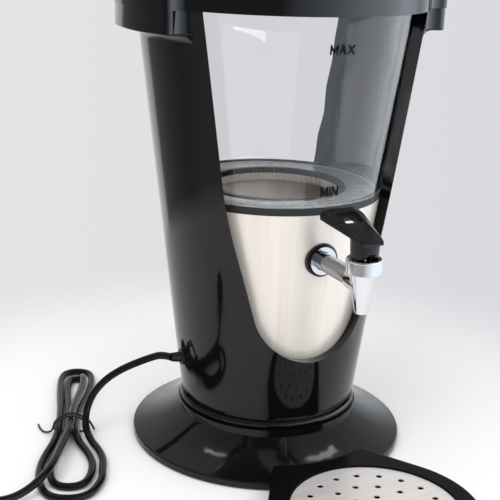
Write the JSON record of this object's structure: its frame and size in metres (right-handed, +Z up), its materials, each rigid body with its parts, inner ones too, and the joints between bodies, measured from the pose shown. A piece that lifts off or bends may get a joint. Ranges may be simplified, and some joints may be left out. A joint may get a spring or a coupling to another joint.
{
  "type": "electric samovar",
  "caption": "Tapered tank, steel below and glass above, in a windowed shell on a flared base, with lidded collar, two ears, lever tap, drip tray and tied mains cord.",
  "frame": {"origin": "on the tank's axis, at the height where the feet stand", "axes": "+Z up, -Y towards the tap and the drip tray, +Y towards the control knob, -X towards the cord"},
  "size_m": [0.5, 0.4857, 0.4652],
  "materials": {
    "black_gloss": "gloss",
    "black_plain": "matt",
    "stainless": "brushed",
    "clear_glass": "clear",
    "chrome": "polished",
    "black_rubber": "matt",
    "white_silicone": "matt",
    "cord_black": "satin",
    "screw_steel": "plain",
    "aluminium": "cast",
    "brass": "plain",
    "lamp_red": "clear",
    "white_plastic": "matt",
    "wire_white": "satin"
  },
  "bodies": {
    "root": {"base_skirt": "black_gloss", "base_cover": "black_plain", "rubber_feet": "black_rubber", "cover_screws": "screw_steel", "bead_ring": "black_gloss", "shell_screws": "screw_steel", "body_shell": "black_gloss", "steel_tank": "stainless", "tank_gasket": "black_rubber", "glass_seal": "white_silicone", "glass_tank": "clear_glass", "clamp_ring": "black_plain", "lock_ring": "chrome", "tank_support": "stainless", "heater_plate": "aluminium", "heater_tube": "screw_steel", "heater_terminals": "brass", "thermal_cutout": "aluminium", "thermostat_sensor": "screw_steel", "thermostat_body": "white_plastic", "indicator_lens": "lamp_red", "lamp_body": "white_plastic", "terminal_block": "white_plastic", "internal_wires": "wire_white", "cord_gland": "black_plain", "cord_lead": "cord_black", "cord_hank": "cord_black", "cord_tail": "cord_black", "cord_tie": "black_plain", "plug_body": "black_gloss", "plug_pins": "chrome", "collar": "black_gloss", "collar_screws": "screw_steel", "collar_seal": "white_silicone", "tap_gasket_outer": "black_rubber", "tap_escutcheon": "chrome", "tap_stem": "chrome", "tap_gasket_inner": "black_rubber", "tap_nut": "chrome", "tap_body": "chrome", "tap_bonnet": "chrome", "valve_spring": "screw_steel"},
    "lid": {"lid": "black_gloss", "lid_seal": "white_silicone"},
    "steam_plate": {"steam_plate": "stainless", "plate_knob": "black_gloss"},
    "valve": {"valve_rod": "screw_steel", "valve_seal": "white_silicone", "lever_pin": "screw_steel"},
    "lever": {"tap_lever": "black_gloss"},
    "knob": {"thermostat_knob": "black_gloss", "thermostat_shaft": "screw_steel"},
    "drip_tray": {"drip_tray": "black_gloss"},
    "drip_grille": {"drip_grille": "stainless"}
  },
  "joints": [
    {"name": "lid_lift", "type": "slide", "parent": "root", "child": "lid", "axis": [0, 0, 1], "range_m": [0, 0.12]},
    {"name": "plate_lift", "type": "slide", "parent": "lid", "child": "steam_plate", "axis": [0, 0, 1], "range_m": [0, 0.06]},
    {"name": "valve_slide", "type": "slide", "parent": "root", "child": "valve", "axis": [0, 0, 1], "range_m": [0, 0.0035], "stiffness_N_per_m": 500, "springref_m": -0.003, "deforming": ["valve_spring"]},
    {"name": "lever_hinge", "type": "hinge", "parent": "valve", "child": "lever", "pos_m": [0, -0.162, 0.2299], "axis": [1, 0, 0], "range_deg": [0, 65]},
    {"name": "knob_turn", "type": "hinge", "parent": "root", "child": "knob", "pos_m": [0, 0, 0.076], "axis": [0, 1, 0], "range_deg": [0, 270]},
    {"name": "tray_slide", "type": "slide", "parent": "root", "child": "drip_tray", "axis": [0, -1, 0], "range_m": [0, 0.12]},
    {"name": "grille_lift", "type": "slide", "parent": "drip_tray", "child": "drip_grille", "axis": [0, 0, 1], "range_m": [0, 0.06]}
  ],
  "couplings": [
    {"joint": "lever_hinge", "follows": "valve_slide", "rad_per_m": 324.1}
  ]
}
